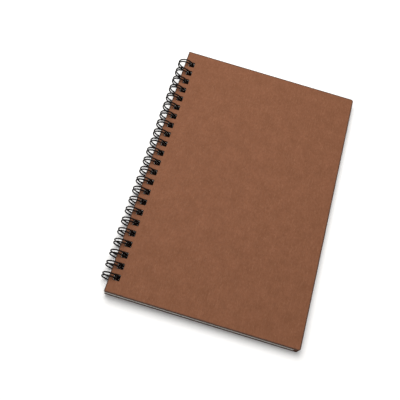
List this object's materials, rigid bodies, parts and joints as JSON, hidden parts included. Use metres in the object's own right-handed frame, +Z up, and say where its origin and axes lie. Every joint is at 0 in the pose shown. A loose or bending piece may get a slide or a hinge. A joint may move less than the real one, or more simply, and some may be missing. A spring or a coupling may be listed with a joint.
{
  "type": "wire-bound sketchbook",
  "caption": "Portrait sketchbook of heavy sheets between two kraft board covers, bound along its long left edge by a black twin-loop wire.",
  "frame": {"origin": "centre of the footprint on the surface that the closed book lies on", "axes": "+X from the spine to the fore edge, +Y up the page along the spine, +Z up out of the front cover"},
  "size_m": [0.146, 0.21, 0.0129],
  "materials": {
    "kraft_board": "uncoated kraft paper over grey board, matt, fine fibre mottle",
    "sheet_paper": "uncoated off-white drawing paper",
    "coated_wire": "steel wire with a smooth black nylon coat"
  },
  "bodies": {
    "bound_back": {"back_cover": "kraft_board", "binding_wire": "coated_wire"},
    "front_cover": {"front_cover": "kraft_board"},
    "sheet_01": {"sheet_01": "sheet_paper"},
    "sheet_02": {"sheet_02": "sheet_paper"},
    "sheet_03": {"sheet_03": "sheet_paper"},
    "sheet_04": {"sheet_04": "sheet_paper"},
    "sheet_05": {"sheet_05": "sheet_paper"},
    "sheet_06": {"sheet_06": "sheet_paper"},
    "sheet_07": {"sheet_07": "sheet_paper"},
    "sheet_08": {"sheet_08": "sheet_paper"},
    "sheet_09": {"sheet_09": "sheet_paper"},
    "sheet_10": {"sheet_10": "sheet_paper"},
    "sheet_11": {"sheet_11": "sheet_paper"},
    "sheet_12": {"sheet_12": "sheet_paper"},
    "sheet_13": {"sheet_13": "sheet_paper"},
    "sheet_14": {"sheet_14": "sheet_paper"},
    "sheet_15": {"sheet_15": "sheet_paper"},
    "sheet_16": {"sheet_16": "sheet_paper"},
    "sheet_17": {"sheet_17": "sheet_paper"},
    "sheet_18": {"sheet_18": "sheet_paper"}
  },
  "joints": [
    {"name": "front_cover_turn", "type": "hinge", "parent": "bound_back", "child": "front_cover", "pos_m": [-0.06715, 0, 0.00646], "axis": [0, -1, 0], "range_deg": [0, 182]},
    {"name": "sheet_01_turn", "type": "hinge", "parent": "bound_back", "child": "sheet_01", "pos_m": [-0.06715, 0, 0.00646], "axis": [0, -1, 0], "range_deg": [0, 172.43]},
    {"name": "sheet_02_turn", "type": "hinge", "parent": "bound_back", "child": "sheet_02", "pos_m": [-0.06715, 0, 0.00646], "axis": [0, -1, 0], "range_deg": [0, 162.85]},
    {"name": "sheet_03_turn", "type": "hinge", "parent": "bound_back", "child": "sheet_03", "pos_m": [-0.06715, 0, 0.00646], "axis": [0, -1, 0], "range_deg": [0, 153.27]},
    {"name": "sheet_04_turn", "type": "hinge", "parent": "bound_back", "child": "sheet_04", "pos_m": [-0.06715, 0, 0.00646], "axis": [0, -1, 0], "range_deg": [0, 143.69]},
    {"name": "sheet_05_turn", "type": "hinge", "parent": "bound_back", "child": "sheet_05", "pos_m": [-0.06715, 0, 0.00646], "axis": [0, -1, 0], "range_deg": [0, 134.12]},
    {"name": "sheet_06_turn", "type": "hinge", "parent": "bound_back", "child": "sheet_06", "pos_m": [-0.06715, 0, 0.00646], "axis": [0, -1, 0], "range_deg": [0, 124.54]},
    {"name": "sheet_07_turn", "type": "hinge", "parent": "bound_back", "child": "sheet_07", "pos_m": [-0.06715, 0, 0.00646], "axis": [0, -1, 0], "range_deg": [0, 114.96]},
    {"name": "sheet_08_turn", "type": "hinge", "parent": "bound_back", "child": "sheet_08", "pos_m": [-0.06715, 0, 0.00646], "axis": [0, -1, 0], "range_deg": [0, 105.38]},
    {"name": "sheet_09_turn", "type": "hinge", "parent": "bound_back", "child": "sheet_09", "pos_m": [-0.06715, 0, 0.00646], "axis": [0, -1, 0], "range_deg": [0, 95.8]},
    {"name": "sheet_10_turn", "type": "hinge", "parent": "bound_back", "child": "sheet_10", "pos_m": [-0.06715, 0, 0.00646], "axis": [0, -1, 0], "range_deg": [0, 86.22]},
    {"name": "sheet_11_turn", "type": "hinge", "parent": "bound_back", "child": "sheet_11", "pos_m": [-0.06715, 0, 0.00646], "axis": [0, -1, 0], "range_deg": [0, 76.64]},
    {"name": "sheet_12_turn", "type": "hinge", "parent": "bound_back", "child": "sheet_12", "pos_m": [-0.06715, 0, 0.00646], "axis": [0, -1, 0], "range_deg": [0, 67.06]},
    {"name": "sheet_13_turn", "type": "hinge", "parent": "bound_back", "child": "sheet_13", "pos_m": [-0.06715, 0, 0.00646], "axis": [0, -1, 0], "range_deg": [0, 57.48]},
    {"name": "sheet_14_turn", "type": "hinge", "parent": "bound_back", "child": "sheet_14", "pos_m": [-0.06715, 0, 0.00646], "axis": [0, -1, 0], "range_deg": [0, 47.9]},
    {"name": "sheet_15_turn", "type": "hinge", "parent": "bound_back", "child": "sheet_15", "pos_m": [-0.06715, 0, 0.00646], "axis": [0, -1, 0], "range_deg": [0, 38.33]},
    {"name": "sheet_16_turn", "type": "hinge", "parent": "bound_back", "child": "sheet_16", "pos_m": [-0.06715, 0, 0.00646], "axis": [0, -1, 0], "range_deg": [0, 28.75]},
    {"name": "sheet_17_turn", "type": "hinge", "parent": "bound_back", "child": "sheet_17", "pos_m": [-0.06715, 0, 0.00646], "axis": [0, -1, 0], "range_deg": [0, 19.17]},
    {"name": "sheet_18_turn", "type": "hinge", "parent": "bound_back", "child": "sheet_18", "pos_m": [-0.06715, 0, 0.00646], "axis": [0, -1, 0], "range_deg": [0, 9.59]}
  ],
  "couplings": [
    {"joint": "sheet_01_turn", "follows": "front_cover_turn", "ratio": 0.94737},
    {"joint": "sheet_02_turn", "follows": "front_cover_turn", "ratio": 0.89474},
    {"joint": "sheet_03_turn", "follows": "front_cover_turn", "ratio": 0.8421},
    {"joint": "sheet_04_turn", "follows": "front_cover_turn", "ratio": 0.78947},
    {"joint": "sheet_05_turn", "follows": "front_cover_turn", "ratio": 0.73684},
    {"joint": "sheet_06_turn", "follows": "front_cover_turn", "ratio": 0.68421},
    {"joint": "sheet_07_turn", "follows": "front_cover_turn", "ratio": 0.63158},
    {"joint": "sheet_08_turn", "follows": "front_cover_turn", "ratio": 0.57895},
    {"joint": "sheet_09_turn", "follows": "front_cover_turn", "ratio": 0.52632},
    {"joint": "sheet_10_turn", "follows": "front_cover_turn", "ratio": 0.47368},
    {"joint": "sheet_11_turn", "follows": "front_cover_turn", "ratio": 0.42105},
    {"joint": "sheet_12_turn", "follows": "front_cover_turn", "ratio": 0.36842},
    {"joint": "sheet_13_turn", "follows": "front_cover_turn", "ratio": 0.31579},
    {"joint": "sheet_14_turn", "follows": "front_cover_turn", "ratio": 0.26316},
    {"joint": "sheet_15_turn", "follows": "front_cover_turn", "ratio": 0.21053},
    {"joint": "sheet_16_turn", "follows": "front_cover_turn", "ratio": 0.1579},
    {"joint": "sheet_17_turn", "follows": "front_cover_turn", "ratio": 0.10526},
    {"joint": "sheet_18_turn", "follows": "front_cover_turn", "ratio": 0.052632}
  ]
}
